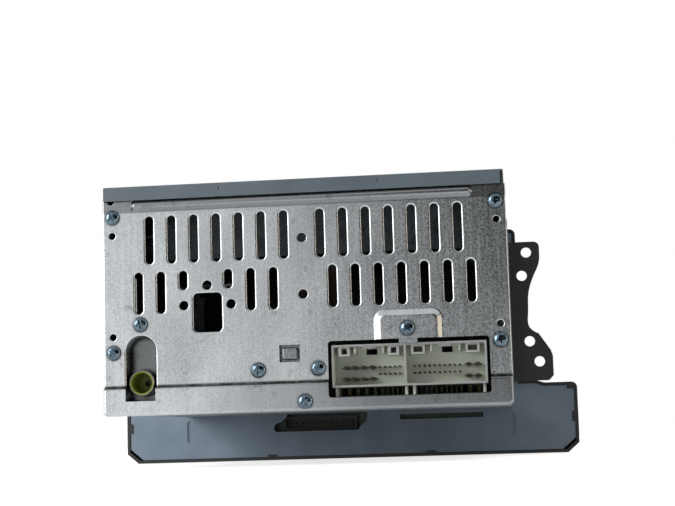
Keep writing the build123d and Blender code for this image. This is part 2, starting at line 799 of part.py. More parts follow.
def aerial_insulator():
    liner_radius = socket_radius - socket_sheet - 0.02
    body = rod_along_y(socket_x, socket_z, liner_radius, socket_front_y, socket_mouth_y - 0.4)
    body -= rod_along_y(socket_x, socket_z, socket_bore, plug_stop, rear_y)
    return body - rod_along_y(socket_x, socket_z, contact_radius, socket_front_y + 1.0, plug_stop + past)


def aerial_contact():
    tube = rod_along_y(socket_x, socket_z, contact_radius, socket_front_y + 1.0, plug_stop - 0.2)
    return tube - rod_along_y(socket_x, socket_z, contact_bore, socket_front_y + 2.0, rear_y)


# Amplifier chip and the spreader that ties it to the rear panel

chip_foot = bottom + chip_above_bottom
chip_back = panel_inner_y - spreader_sheet


def heat_spreader():
    bar = slab((tab_x - 15.5, tab_x + 17.0), (chip_back, panel_inner_y), (chip_foot, bottom + 30.5))
    recess = Rectangle(tab_size[0] + 0.6, tab_size[1] + 0.6)
    bar -= along_y(Pos(tab_x, tab_z) * recess, chip_back + 0.3, panel_inner_y + past)
    boss = RectangleRounded(*boss_size, boss_corner)
    boss = along_y(Pos(tab_x, tab_z) * boss, chip_back + 0.1, rear_y - 0.4)
    bar += fillet(boss.edges().group_by(Axis.Y)[-1], 1.0)
    for x, z in chip_screws:
        bar -= rod_along_y(x, z, screw_shank_radius + tapped_gap, chip_back - past, rear_y)
    return bar


def amp_chip():
    chip = slab(around(chip_x, chip_half_width), (chip_back - chip_depth, chip_back),
                (chip_foot, chip_foot + chip_height))
    for x, z in chip_screws:
        chip -= rod_along_y(x, z, screw_shank_radius + 0.25, chip_back - 2 * past, rear_y)
    first_x = chip_x - chip_leg_pitch * (chip_legs - 1) / 2
    for step in range(chip_legs):
        leg_y = chip_back - 2.0 - 2.0 * (step % 2)
        leg_x = first_x + chip_leg_pitch * step
        chip += slab(around(leg_x, 0.25), around(leg_y, 0.25), (board_top, chip_foot + weld))
    return chip


# Main board with the tuner can and the storage capacitors


def main_board():
    board = slab((-board_half, board_half), (3.0, can_back_y), (board_z, board_top))
    tongue_x = (-board_half + 4, socket_x - pan_half - 4.5)
    board += slab(tongue_x, (can_back_y - weld, panel_inner_y - 2.1), (board_z, board_top))
    for x, z, radius in pin_places():
        hole = radius + 0.05
        board -= slab(around(x, hole), around(tail_y(z), hole), (board_z - past, board_top + past))
    return board


def tuner_can():
    width, depth, height = can_size
    lid_z = board_top + height
    can = slab(around(socket_x - 1, width / 2), (can_back_y - depth, can_back_y), (board_top, lid_z))
    can = fillet(can.edges().filter_by(Axis.Z), 1.0)
    for y in (can_back_y - 34, can_back_y - 12):
        can -= rod_along_z(socket_x - 1, y, 3.0, lid_z - 0.8, lid_z + past)
    can -= rod_along_y(socket_x, socket_z, socket_radius + 0.02, socket_front_y, rear_y)
    return can


def capacitors():
    places = [(-30, 112, 9, 22), (-52, 112, 9, 22), (-10, 108, 6, 16), (6, 108, 6, 16), (24, 112, 5, 12),
              (-70, 60, 5, 12), (-70, 76, 5, 12)]
    score = 0.3
    cans = []
    for x, y, radius, height in places:
        head = board_top + height
        can = rod_along_z(x, y, radius, board_top, head)
        can = fillet(can.edges().group_by(Axis.Z)[-1], 0.8)
        can -= slab(around(x, radius), around(y, score), (head - score, top))
        can -= slab(around(x, score), around(y, radius), (head - score, top))
        cans.append(can)
    return cans


# Fascia: the steel plate behind it and the black shell around it

plate_gap = rim + 0.2
opening_half = 78.0
opening_z = (bottom + 6.5, top - 10.5)
rib_width = 4.4
rib_depth = 0.7
plate_corner_cut = 1.7
rib_from_side = 1.7


def fascia_outline(shrink, corner, extra_cut=0.0):
    upper_x = upper_half - shrink
    wing_x = wing_half - shrink
    foot = wing_bottom + shrink
    cut = wing_corner - shrink * 0.4 + extra_cut
    shoulder = wing_top - shrink
    raised_shoulder = shoulder + wing_shoulder
    ramp_x = [half + reach for reach in wing_ramp]
    side = [(upper_x, shell_top - shrink), (upper_x, raised_shoulder), (ramp_x[0], raised_shoulder),
            (ramp_x[1], shoulder), (wing_x, shoulder), (wing_x, foot + cut * 0.85), (wing_x - cut, foot)]
    shape = outline(side + [(-x, z) for x, z in reversed(side)])
    heads = shape.vertices().group_by(Axis.Y)[-1]
    shoulders = [vertex for vertex in shape.vertices() if abs(vertex.Y - shoulder) < 0.01]
    tips = [vertex for vertex in shoulders if abs(vertex.X) > wing_x - 1]
    return fillet(heads + tips, corner)


def fascia_back_plate():
    plate = along_y(fascia_outline(plate_gap, 2.0, plate_corner_cut), plate_front_y, plate_back_y)
    through = (plate_front_y - past, plate_back_y + past)
    opening = RectangleRounded(2 * opening_half, opening_z[1] - opening_z[0], 3)
    plate -= along_y(Pos(0, sum(opening_z) / 2) * opening, *through)
    step = outline([(-9.5, bottom + 1.5), (-10, bottom - 1), (-9.5, bottom - 4), (-6, bottom - 6.5),
                    (-5, bottom - 8.5), (40, bottom - 8.5), (41, bottom - 7), (40.5, bottom - 4.5),
                    (36.5, bottom - 3), (34, bottom - 0.5), (33, bottom + 1.5)])
    plate -= along_y(step, *through)
    plate -= slab((-72, -27.5), through, (bottom - 3.7, bottom - 1.0))
    rib_z = (wing_bottom + 9.5, bottom - 0.6)
    for x in around(0, half - rib_from_side):
        place = Pos(x, sum(rib_z) / 2)
        length = rib_z[1] - rib_z[0]
        swell = along_y(place * SlotOverall(length, rib_width, rotation=90), plate_front_y - rib_depth,
                        plate_front_y + weld)
        plate += fillet(swell.edges().group_by(Axis.Y)[0], 0.5)
        hollow = place * SlotOverall(length - 1.6, rib_width - 1.6, rotation=90)
        plate -= along_y(hollow, plate_back_y - rib_depth, plate_back_y + past)
    return plate


board_posts = [(-76, slot_z - 10), (76, slot_z - 10), (-54, knob_z + 10.5), (54, knob_z + 10.5),
               (-84, function_z + 11.5), (84, function_z + 11.5)]
post_radius = 3.0
panel_sink = 0.5
key_openings = []
for step in range(preset_count):
    key_x = preset_pitch * (step - (preset_count - 1) / 2)
    key_openings.append((key_x, preset_z, preset_width, preset_height))
for step in range(function_count):
    key_x = function_pitch * (step - (function_count - 1) / 2)
    key_openings.append((key_x, function_z, function_width, function_height))
key_openings.append((eject_x, slot_z, eject_width, eject_height))


def fascia_shell():
    shell = along_y(fascia_outline(0, 3.0), shell_front_y, shell_rear_y)
    shell = fillet(shell.edges().group_by(Axis.Y)[0], shell_edge_round)
    shell -= along_y(fascia_outline(rim, 2.0), shell_inner_y, shell_rear_y + past)
    through = (shell_front_y - past, shell_inner_y + past)
    sunk = (shell_front_y - past, shell_front_y + panel_sink)
    panel_z = (display_z + display_height / 2 + 2.6, preset_z - preset_height / 2 - 3.6)
    panel_width = display_width + 6.5
    panel = RectangleRounded(panel_width, panel_z[0] - panel_z[1], 3.0)
    shell -= along_y(Pos(0, sum(panel_z) / 2) * panel, *sunk)
    row_width = function_pitch * (function_count - 1) + function_width + 14
    shell -= along_y(Pos(0, function_z) * RectangleRounded(row_width, function_height + 5, 3.0), *sunk)
    shell -= along_y(Pos(0, slot_z) * RectangleRounded(slot_width, slot_height, 1.2), *through)
    slot_edges = [edge for edge in shell.edges() if abs(edge.center().Y - shell_front_y) < 0.01
                  and abs(edge.center().Z - slot_z) < slot_height / 2 + 0.1
                  and abs(edge.center().X) < slot_width / 2 + 0.1]
    shell = fillet(slot_edges, 1.2)
    lens_hole = RectangleRounded(display_width + 0.2, display_height + 0.2, 1.5)
    shell -= along_y(Pos(0, display_z) * lens_hole, *through)
    for x, z, width, height in key_openings:
        hole = RectangleRounded(width + 2 * fit_gap, height + 2 * fit_gap, 1.2)
        shell -= along_y(Pos(x, z) * hole, *through)
    for x in around(0, knob_half_span):
        shell -= rod_along_y(x, knob_z, knob_radius + 1.6, shell_front_y - past, shell_front_y + 0.6)
        shell -= rod_along_y(x, knob_z, knob_hub_radius + 0.4, *through)
    for x, z in board_posts:
        shell += rod_along_y(x, z, post_radius, shell_inner_y - weld, front_board_face)
    ledge_y = (shell_inner_y - weld, plate_front_y)
    for side in (-1, 1):
        for z in (wing_top - 10, wing_bottom + 12):
            x_range = sorted((side * (wing_half - 6), side * (wing_half - rim + weld)))
            shell += slab(x_range, ledge_y, around(z, 1))
        for x in (side * 60, side * 22):
            shell += slab(around(x, 1), ledge_y, (wing_bottom + rim - weld, wing_bottom + 6))
            shell += slab(around(x, 1), ledge_y, (shell_top - 3.6, shell_top - rim + weld))
    shell -= slab(around(0, half + slip), (front_y, past), (bottom, top + past))
    hook_y = (plate_back_y, shell_rear_y)
    for x in (-43.5, 42.0):
        shell += slab(around(x, 2.5), hook_y, (wing_bottom + rim - weld, wing_bottom + rim + 1.4))
    for side in (-1, 1):
        rim_x = side * (wing_half - rim + weld)
        side_hook = sorted((side * (wing_half - rim - 1.6), rim_x))
        shell += slab(side_hook, hook_y, (bottom - 7.2, bottom - 2.1))
        corner_hook = sorted((side * (wing_half - rim - 3.7), rim_x))
        shell += slab(corner_hook, hook_y, (wing_top - rim - 2.0, wing_top - rim + weld))
    return shell


# Display, front board and what sits on it

encoder_depth = 6.0
encoder_y = front_board_face - encoder_depth
collar_radius = 4.5
knob_hub_radius = shaft_radius + 2.2
switch_top_y = front_board_face - 4.0
shaft_end = knob_front + 5.0


def display_lens():
    lens = along_y(Pos(0, display_z) * RectangleRounded(display_width, display_height, 1.4),
                   shell_front_y - 0.2, shell_inner_y)
    lens = fillet(lens.edges().group_by(Axis.Y)[0], 0.6)
    flange = RectangleRounded(display_width + 4, display_height + 4, 2.0)
    return lens + along_y(Pos(0, display_z) * flange, shell_inner_y, shell_inner_y + 1.0)


def display_module():
    y_range = (shell_inner_y + 1.0, front_board_face)
    body = along_y(Pos(0, display_z) * Rectangle(display_width - 2, display_height - 1), *y_range)
    cell = Rectangle(display_width - 12, display_height - 7)
    return body - along_y(Pos(0, display_z) * cell, y_range[0] - past, y_range[0] + 0.6)


def front_board():
    y_range = (front_board_face, front_board_y)
    board = slab((-86, 88), y_range, (wing_top - 4, shell_top - rim - 0.6))
    board += slab((-90, 90), y_range, (wing_bottom + 9, wing_top - 4))
    slot_x = (-slot_width / 2 - 4, slot_width / 2 + 1.5)
    return board - slab(slot_x, (front_board_face - past, front_board_y + past), (slot_z - 6.5, slot_z + 20))


def board_switches():
    pieces = []
    for x, z, width, height in key_openings:
        body = slab(around(x, 3), (front_board_face - 3.4, front_board_face), around(z, 3))
        pieces.append(body + rod_along_y(x, z, 1.7, switch_top_y, front_board_face - 3.3))
    for x in around(0, knob_half_span):
        body = slab(around(x, 6), (encoder_y, front_board_face), around(knob_z, 6))
        body += rod_along_y(x, knob_z, collar_radius, encoder_y - 4, encoder_y + weld)
        body += rod_along_y(x, knob_z, shaft_radius, shaft_end, encoder_y)
        recess = rod_along_y(x, knob_z, cap_stem_radius + 0.3, shaft_end - past, shaft_end + shaft_recess)
        pieces.append(body - recess)
    return pieces


def slot_felts():
    strips = []
    for side in (-1, 1):
        edge_z = slot_z + side * (slot_height / 2 - felt_reach)
        far_z = slot_z + side * (slot_height / 2 + 3.0)
        strips.append(slab(around(0, slot_width / 2), (shell_inner_y, shell_inner_y + felt_sheet),
                           sorted((edge_z, far_z))))
    return strips


def fascia_connector():
    z_range = (bottom - 8.0, bottom - 0.5)
    wall = 1.2
    contacts = 12
    block = slab((-4, 36), (front_board_y, front_board_y + 5.0), z_range)
    block -= slab((-4 + wall, 36 - wall), (front_board_y + wall, front_board_y + past + 1),
                  (z_range[0] + wall, z_range[1] - wall))
    for step in range(contacts):
        x = -1.2 + 3.1 * step
        block += slab(around(x, 0.4), (front_board_y + 1.0, front_board_y + 4),
                      (z_range[0] + 3.4, z_range[0] + 4.2))
    return block


# Flat ribbons: one from the deck and one from the front board, both to the main board


def ribbon(points, x_low, x_high, radius):
    return along_x(trace(FilletPolyline(*points, radius=radius), 0.3), x_low, x_high)


def flat_ribbons():
    behind_deck = deck_back + 6
    under_deck = deck_back - 10
    turn_z = deck_base - 10.0
    deck = ribbon([(behind_deck, board_top), (behind_deck, turn_z), (under_deck, turn_z),
                   (under_deck, deck_base - deck_sheet)], -14, 14, 2.5)
    leave_z = board_top + 19.1
    down_y = front_board_y + 19.0
    front = ribbon([(front_board_y, leave_z), (front_board_y + 8, leave_z), (down_y, leave_z - 7),
                    (down_y, board_top)], -70, -44, 2.5)
    return [deck, front]


# Knobs and their caps

cap_front = knob_front - cap_proud


def knob():
    body = rod_along_y(0, 0, knob_radius, knob_front, knob_back)
    body = fillet(body.edges().group_by(Axis.Y)[0], 1.4)
    flute_circle = knob_radius + flute_radius / 3
    flutes = []
    for step in range(knob_flutes):
        angle = 2 * math.pi * step / knob_flutes
        flutes.append(rod_along_y(flute_circle * math.cos(angle), flute_circle * math.sin(angle),
                                  flute_radius, knob_front + 2.6, knob_back + past))
    body = body - flutes
    cup = rod_along_y(0, 0, knob_radius - knob_wall, knob_front + 6.4, knob_back + past)
    cup -= rod_along_y(0, 0, knob_hub_radius, knob_front, knob_back + 2 * past)
    body -= cup
    recess_floor = cap_front + cap_depth + cap_travel + stop_gap
    body -= rod_along_y(0, 0, cap_radius + fit_gap, knob_front - past, recess_floor)
    body -= rod_along_y(0, 0, shaft_radius + running_fit, shaft_end - 0.1, knob_back + past)
    return body - rod_along_y(0, 0, cap_stem_radius + 0.15, knob_front, knob_back)


def knob_cap():
    dish_radius = 27.9
    cap = rod_along_y(0, 0, cap_radius, cap_front, cap_front + cap_depth)
    cap = fillet(cap.edges().group_by(Axis.Y)[0], 0.8)
    cap -= Pos(0, cap_front - dish_radius + 0.5, 0) * Sphere(dish_radius)
    return cap + rod_along_y(0, 0, cap_stem_radius, cap_front + cap_depth - weld, cap_front + cap_stem_end)


# Keys: a cap through the shell, a flange behind it and a stem over its switch


def key(x, z, width, height):
    flange_back = shell_inner_y + 1.4
    cap = along_y(RectangleRounded(width, height, 1.0), key_front_y, flange_back)
    cap = fillet(cap.edges().group_by(Axis.Y)[0], 0.5)
    flange = RectangleRounded(width + 1.0, height + 1.6, 1.0)
    stem = rod_along_y(0, 0, 2.2, flange_back - 0.4, switch_top_y - key_travel - 0.1)
    return Pos(x, 0, z) * (cap + along_y(flange, shell_inner_y + fit_gap, flange_back) + stem)


# Disc deck: a steel tray under the disc path, with its drive on the right


def deck_tray():
    tray = slab(around(0, deck_inner + 0.5), (deck_front, deck_back), (deck_base - deck_sheet, deck_base))
    tray += both_sides(slab((deck_inner, deck_half_width), (deck_front, deck_back), (deck_base - 12, deck_top)))
    tray += slab(around(0, deck_inner), (deck_back - deck_sheet, deck_back), (deck_base - 6, deck_top))
    for y in deck_ear_y:
        tray += both_sides(slab((deck_inner, deck_half_width + ear_reach), around(y, ear_half), ear_z))
    under = (deck_base - deck_sheet - past, deck_base + 1)
    tray -= along_z(Pos(-4.5, screw_y) * Rectangle(20, 11), *under)
    tray -= rod_along_z(0, disc_centre_y, 3.0, *under)
    sled_slot = Pos(sled_start + sled_travel / 2, disc_centre_y) * SlotOverall(sled_travel + 16, 16)
    tray -= along_z(sled_slot, *under)
    for y in rod_y:
        post = slab((10.6, 13.6), around(y, 3), (deck_base - 0.1, rod_z + 2.6))
        tray += post - rod_along_x(y, rod_z, rod_radius + seat_gap, 0, 30)
    right_wall = (deck_inner - past, deck_half_width + past)
    tray -= rod_along_x(screw_y, rod_z, journal_radius + running_fit, *right_wall)
    both_walls = around(0, deck_half_width + past)
    tray -= rod_along_x(roller_y, roller_z, roller_shaft_radius + running_fit, *both_walls)
    tray -= rod_along_x(pinion_y, pinion_z, 2.0, *right_wall)
    tray += rod_along_x(idler_y, idler_z, idler_pin_radius, deck_inner, gear_end + 0.6)
    for y in (40.0, 96.0):
        tray -= along_x(Pos(y, disc_z - 1) * SlotOverall(26, 5), *both_walls)
    return tray


def deck_cover():
    cover = slab(around(0, deck_half_width), (deck_front, deck_back), (deck_top, deck_top + deck_sheet))
    cover -= rod_along_z(0, disc_centre_y, 17.0, deck_top - past, deck_top + past)
    lug_x = barrel_half_width + lug_gap
    cover += both_sides(slab((lug_x, lug_x + lug_sheet), around(pivot_y, 4), (pivot_z - 3, deck_top + weld)))
    return cover + rod_along_x(pivot_y, pivot_z, pivot_pin, *around(0, lug_x + lug_sheet))


def deck_dampers():
    z_range = (shelf_z + wall_sheet, ear_z[0])
    waist_z = around(sum(z_range) / 2, 1)
    pieces = []
    for x in around(0, deck_half_width + grommet_from_side):
        for y in deck_ear_y:
            grommet = rod_along_z(x, y, 4.2, *z_range)
            waist = rod_along_z(x, y, 5.0, *waist_z) - rod_along_z(x, y, 3.0, *waist_z)
            pieces.append(grommet - waist)
    return pieces


def guide_rods():
    return [rod_along_x(y, rod_z, rod_radius, 10.8, deck_inner) for y in rod_y]


def deck_motors():
    under_base = deck_base - deck_sheet
    spindle = rod_along_z(0, disc_centre_y, spindle_motor_radius, under_base - 8, under_base)
    spindle = fillet(spindle.edges().group_by(Axis.Z)[0], 1.0)
    spindle += rod_along_z(0, disc_centre_y, motor_shaft, under_base - 2, disc_z - 1.2)
    loader = rod_along_x(pinion_y, pinion_z, loader_motor_radius, deck_inner - loader_motor_length, deck_inner)
    loader += rod_along_x(pinion_y, pinion_z, motor_shaft, deck_inner - 1, gear_end)
    feed = rod_along_x(screw_y, rod_z, feed_motor_radius, -13.0, 5.0)
    feed -= rod_along_x(screw_y, rod_z, journal_radius + running_fit, 0, 5.0 + past)
    return [spindle, loader, feed]


def gear(teeth, bore):
    pitch = gear_module * teeth / 2
    root = pitch - 1.15 * gear_module
    tip = pitch + 0.8 * gear_module
    half_pitch = math.pi / teeth
    tooth = [(root, -0.62), (pitch, -0.42), (tip, -0.2), (tip, 0.2), (pitch, 0.42), (root, 0.62)]
    points = []
    for step in range(teeth):
        for radius, share in tooth:
            angle = (2 * step + share) * half_pitch
            points.append((radius * math.cos(angle), radius * math.sin(angle)))
    return along_x(outline(points) - Circle(bore), 0, gear_width)


def turned(shape, degrees, y, z):
    return Pos(gear_x, y, z) * Rot(degrees, 0, 0) * shape


idler_turn = idler_angle + 180 + 180 / idler_teeth
idler_phase = -idler_turn % (360 / idler_teeth)
pinion_turn = 180 + 180 / pinion_teeth + idler_phase * idler_teeth / pinion_teeth


def roller_shaft():
    return rod_along_x(roller_y, roller_z, roller_shaft_radius, -deck_half_width - 1.5, gear_end + 1)


def roller_sleeves():
    outer_x = deck_inner - sleeve_from_side
    sleeve = outline([(sleeve_inner_x, roller_shaft_radius), (outer_x, roller_shaft_radius),
                      (outer_x, sleeve_outer_radius), (sleeve_inner_x, sleeve_inner_radius)])
    return [Pos(0, roller_y, roller_z) * piece for piece in both_sides(revolve(sleeve, axis=Axis.X))]


def turntable():
    plate = rod_along_z(0, disc_centre_y, 14.0, disc_z - 4.5, disc_z - 2.5)
    cone = Pos(0, disc_centre_y, disc_z - 1.0) * Cone(7.3, 6.2, 3.0)
    return plate + cone - rod_along_z(0, disc_centre_y, motor_shaft + running_fit, deck_base, disc_z - 0.9)


def clamp_arm():
    head = rod_along_z(0, disc_centre_y, 12.0, *arm_z)
    beam = along_z(outline([(-9, disc_centre_y), (-15, pivot_y), (15, pivot_y), (9, disc_centre_y)]), *arm_z)
    barrel = rod_along_x(pivot_y, pivot_z, barrel_radius, -barrel_half_width, barrel_half_width)
    arm = head + beam + barrel
    through = (arm_z[0] - past, arm_z[1] + past)
    arm -= along_z(Pos(0, (disc_centre_y + pivot_y) / 2 + 4) * RectangleRounded(12, 26, 3), *through)
    arm -= rod_along_z(0, disc_centre_y, puck_stem_radius + puck_stem_gap, *through)
    return arm - rod_along_x(pivot_y, pivot_z, pivot_pin + running_fit, *around(0, barrel_half_width + past))


def clamp_puck():
    low = disc_z + puck_above_disc
    puck = rod_along_z(0, disc_centre_y, puck_radius, low, arm_z[0] - 0.3)
    puck -= rod_along_z(0, disc_centre_y, 8.2, low - past, low + 2.2)
    puck += rod_along_z(0, disc_centre_y, puck_stem_radius, arm_z[0] - 0.4, arm_z[1] + 0.3)
    return puck + rod_along_z(0, disc_centre_y, 7.5, arm_z[1] + 0.25, arm_z[1] + 1.2)


def pickup_sled():
    body = slab(around(sled_start, sled_half_width), (rod_y[0] - 3, rod_y[1] + 3), (rod_z - 2.0, rod_z + 2.3))
    body = fillet(body.edges().filter_by(Axis.Z), 1.0)
    body += rod_along_z(sled_start, disc_centre_y, 3.4, rod_z, rod_z + 3.4)
    follower_y = (screw_y + screw_crest + 0.3, rod_y[0])
    body += slab(around(sled_start, 2), follower_y, around(rod_z, 1.2))
    for y in rod_y:
        body -= rod_along_x(y, rod_z, rod_radius + running_fit, 0, deck_half_width)
    return body


def lead_screw():
    end = deck_half_width - 3.5
    tip = deck_half_width + 0.4
    root = screw_crest - 0.45
    profile = [(2.0, 0), (2.0, journal_radius), (screw_start, journal_radius)]
    for step in range(int((end - screw_start) / screw_pitch)):
        x = screw_start + screw_pitch * step
        profile += [(x, screw_crest), (x + 1.4, screw_crest), (x + 1.9, root), (x + 2.7, root)]
    profile += [(end, screw_crest), (end, journal_radius), (tip, journal_radius), (tip, 0)]
    return Pos(0, screw_y, rod_z) * revolve(outline(profile), axis=Axis.X)


# Every piece in its own file

save("rear_panel", rear_panel())
save("rear_screws", *rear_screws())
save("top_cover", top_cover())
cover_screw = pan_screw(cover_head_radius, cover_head_height, screw_shank_radius, cover_screw_length)
save("cover_screws", *side_screws(cover_screw, cover_screw_places, lid_half))
save("bottom_cover", bottom_cover())
right_wall = side_wall()
save("right_side_wall", right_wall)
save("left_side_wall", mirror(right_wall, about=Plane.YZ))
right_bracket = bracket()
save("right_bracket", right_bracket)
save("left_bracket", mirror(right_bracket, about=Plane.YZ))
bracket_screw = flush_screw(bracket_head_radius, bracket_head_height, bracket_shank_radius, bracket_screw_length)
save("bracket_screws", *side_screws(bracket_screw, bracket_screw_places, wall_x + bracket_sheet))
save("harness_header", harness_header())
save("header_pins", *header_pins())
save("header_clip", header_clip())
save("aerial_shell", aerial_shell())
save("aerial_insulator", aerial_insulator())
save("aerial_contact", aerial_contact())
save("heat_spreader", heat_spreader())
save("amp_chip", amp_chip())
save("main_board", main_board())
save("tuner_can", tuner_can())
save("capacitors", *capacitors())
save("fascia_back_plate", fascia_back_plate())
save("fascia_shell", fascia_shell())
save("display_lens", display_lens())
save("display_module", display_module())
save("front_board", front_board())
save("board_switches", *board_switches())
save("slot_felts", *slot_felts())
save("fascia_connector", fascia_connector())
save("flat_ribbons", *flat_ribbons())
knob_shape = knob()
cap_shape = knob_cap()
save("volume_knob", Pos(-knob_half_span, 0, knob_z) * knob_shape)
save("tune_knob", Pos(knob_half_span, 0, knob_z) * knob_shape)
save("power_cap", Pos(-knob_half_span, 0, knob_z) * cap_shape)
save("select_cap", Pos(knob_half_span, 0, knob_z) * cap_shape)
for number in range(preset_count):
    save(f"preset_{number + 1}", key(*key_openings[number]))
for number in range(function_count):
    save(f"function_key_{number + 1}", key(*key_openings[preset_count + number]))
save("eject_button", key(*key_openings[-1]))
save("deck_tray", deck_tray())
save("deck_cover", deck_cover())
save("deck_dampers", *deck_dampers())
save("guide_rods", *guide_rods())
save("deck_motors", *deck_motors())
save("roller_shaft", roller_shaft())
save("roller_sleeves", *roller_sleeves())
save("roller_gear", turned(gear(roller_teeth, roller_shaft_radius + seat_gap), idler_angle, roller_y, roller_z))
save("idler_gear", turned(gear(idler_teeth, idler_pin_radius + running_fit), idler_turn, idler_y, idler_z))
save("motor_pinion", turned(gear(pinion_teeth, motor_shaft + running_fit), pinion_turn, pinion_y, pinion_z))
save("turntable", turntable())
save("clamp_arm", clamp_arm())
save("clamp_puck", clamp_puck())
save("pickup_sled", pickup_sled())
save("lead_screw", lead_screw())
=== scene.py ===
import math
import random

import bmesh
import bpy
from mathutils import Matrix, Quaternion, Vector


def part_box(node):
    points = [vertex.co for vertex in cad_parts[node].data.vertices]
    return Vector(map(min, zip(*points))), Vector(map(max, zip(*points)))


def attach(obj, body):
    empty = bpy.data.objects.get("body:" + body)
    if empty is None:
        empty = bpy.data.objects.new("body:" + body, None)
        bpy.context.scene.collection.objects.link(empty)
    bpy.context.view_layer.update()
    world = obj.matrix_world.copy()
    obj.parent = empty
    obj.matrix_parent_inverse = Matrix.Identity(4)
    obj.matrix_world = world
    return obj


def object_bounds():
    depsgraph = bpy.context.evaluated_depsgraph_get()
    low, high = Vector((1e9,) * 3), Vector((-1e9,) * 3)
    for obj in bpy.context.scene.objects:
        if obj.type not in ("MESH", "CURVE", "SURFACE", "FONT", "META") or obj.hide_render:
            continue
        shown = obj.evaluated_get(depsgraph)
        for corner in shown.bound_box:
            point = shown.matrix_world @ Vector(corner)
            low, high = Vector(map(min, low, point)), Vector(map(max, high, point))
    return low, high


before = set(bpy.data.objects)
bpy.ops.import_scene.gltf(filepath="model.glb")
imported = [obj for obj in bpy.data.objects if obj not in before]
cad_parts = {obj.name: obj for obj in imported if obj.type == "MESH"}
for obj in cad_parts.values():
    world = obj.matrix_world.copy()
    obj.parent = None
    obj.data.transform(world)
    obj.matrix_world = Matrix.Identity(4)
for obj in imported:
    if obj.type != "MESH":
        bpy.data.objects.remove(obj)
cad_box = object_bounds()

# Camera: a short telephoto behind the unit, low and to its left, looking a little up.
# The unit is seen from the rear, as when it is pulled out of the dash.

camera_place = Vector((-0.0909, 0.8060, -0.0700))
camera_aim = Vector((-0.0156, 0.1600, 0.00835))
camera_roll = -1.67
camera = bpy.data.objects.new("camera", bpy.data.cameras.new("camera"))
camera.data.lens = 80.42
camera.data.sensor_width = 36.0
camera.data.clip_start = 0.01
camera.location = camera_place
level = (camera_aim - camera_place).to_track_quat("-Z", "Y")
camera.rotation_euler = (level @ Quaternion((0, 0, 1), math.radians(camera_roll))).to_euler()
bpy.context.scene.collection.objects.link(camera)
bpy.context.scene.camera = camera
bpy.context.scene.view_settings.view_transform = "Standard"

# Studio: a white room seen by the camera and by mirror rays, and a pale paper floor that keeps
# the unit's shadow.


def linear(hex_colour):
    """A colour given as sRGB hex, as the linear values that shaders use."""
    shares = [int(hex_colour[start:start + 2], 16) / 255 for start in (1, 3, 5)]
    return [s / 12.92 if s <= 0.04045 else ((s + 0.055) / 1.055) ** 2.4 for s in shares] + [1.0]


def add_node(owner, kind, inputs=None, **settings):
    """Adds one shader node; an input is given a value, or another node's output to link."""
    node = owner.node_tree.nodes.new(kind)
    for name, value in settings.items():
        setattr(node, name, value)
    for socket, value in (inputs or {}).items():
        if isinstance(value, bpy.types.NodeSocket):
            owner.node_tree.links.new(value, node.inputs[socket])
        else:
            node.inputs[socket].default_value = value
    return node


def seen_directly(owner):
    """1 on rays from the camera, a mirror or glass, and 0 on the rays that light the unit."""
    rays = add_node(owner, "ShaderNodeLightPath")
    seen = rays.outputs["Is Camera Ray"]
    for other in ("Is Glossy Ray", "Is Transmission Ray"):
        either = add_node(owner, "ShaderNodeMath", {0: seen, 1: rays.outputs[other]}, operation="MAXIMUM")
        seen = either.outputs[0]
    return seen


world = bpy.data.worlds.new("studio")
world.use_nodes = True
bpy.context.scene.world = world
room_light = 0.41
room = world.node_tree.nodes["Background"]
strength = add_node(world, "ShaderNodeMapRange",
                    {"Value": seen_directly(world), "To Min": room_light, "To Max": 1.0})
world.node_tree.links.new(strength.outputs[0], room.inputs["Strength"])
room.inputs["Color"].default_value = (1, 1, 1, 1)


def flat_sheet(name, size_x, size_y):
    """One flat rectangle in the studio, lying level about its own middle."""
    mesh = bpy.data.meshes.new(name)
    shape = bmesh.new()
    bmesh.ops.create_grid(shape, x_segments=1, y_segments=1, size=0.5)
    bmesh.ops.scale(shape, vec=(size_x, size_y, 1), verts=shape.verts)
    shape.to_mesh(mesh)
    shape.free()
    sheet = bpy.data.objects.new(name, mesh)
    bpy.context.scene.collection.objects.link(sheet)
    return sheet


floor_side = 8
floor_gap = 0.0002
floor = flat_sheet("floor", floor_side, floor_side)
floor.location = (0, 0, cad_box[0][2] - floor_gap)
paper = bpy.data.materials.new("white_paper_floor")
paper.use_nodes = True
paper.node_tree.nodes.clear()
own_glow = 0.7
glow = add_node(paper, "ShaderNodeMath", {0: seen_directly(paper), 1: own_glow}, operation="MULTIPLY")
glow = add_node(paper, "ShaderNodeEmission", {"Strength": glow.outputs[0]})
matt = add_node(paper, "ShaderNodeBsdfDiffuse", {"Color": (0.72, 0.72, 0.72, 1)})
both = add_node(paper, "ShaderNodeAddShader", {0: glow.outputs[0], 1: matt.outputs[0]})
add_node(paper, "ShaderNodeOutputMaterial", {"Surface": both.outputs[0]})
floor.data.materials.append(paper)

# Dark card: it stands behind the camera, so that the bare metal darkens towards the right of
# the picture. Only reflections see it.

card = flat_sheet("card", 2.6, 2.4)
card.location = (-1.12, 1.3, 0.3)
card.rotation_euler = (math.radians(90), 0, math.radians(14))
card.visible_camera = False
card.visible_transmission = False
card.visible_diffuse = False
card_paper = bpy.data.materials.new("dark_card")
card_paper.use_nodes = True
card_shader = card_paper.node_tree.nodes["Principled BSDF"]
card_shader.inputs["Base Color"].default_value = linear("#141413")
card_shader.inputs["Roughness"].default_value = 1.0
card.data.materials.append(card_paper)

# Lamps: a large soft one and a weaker one beside it on the left of the picture, a weak warm one on
# the right, and one that lights the fascia and the lid from the front.


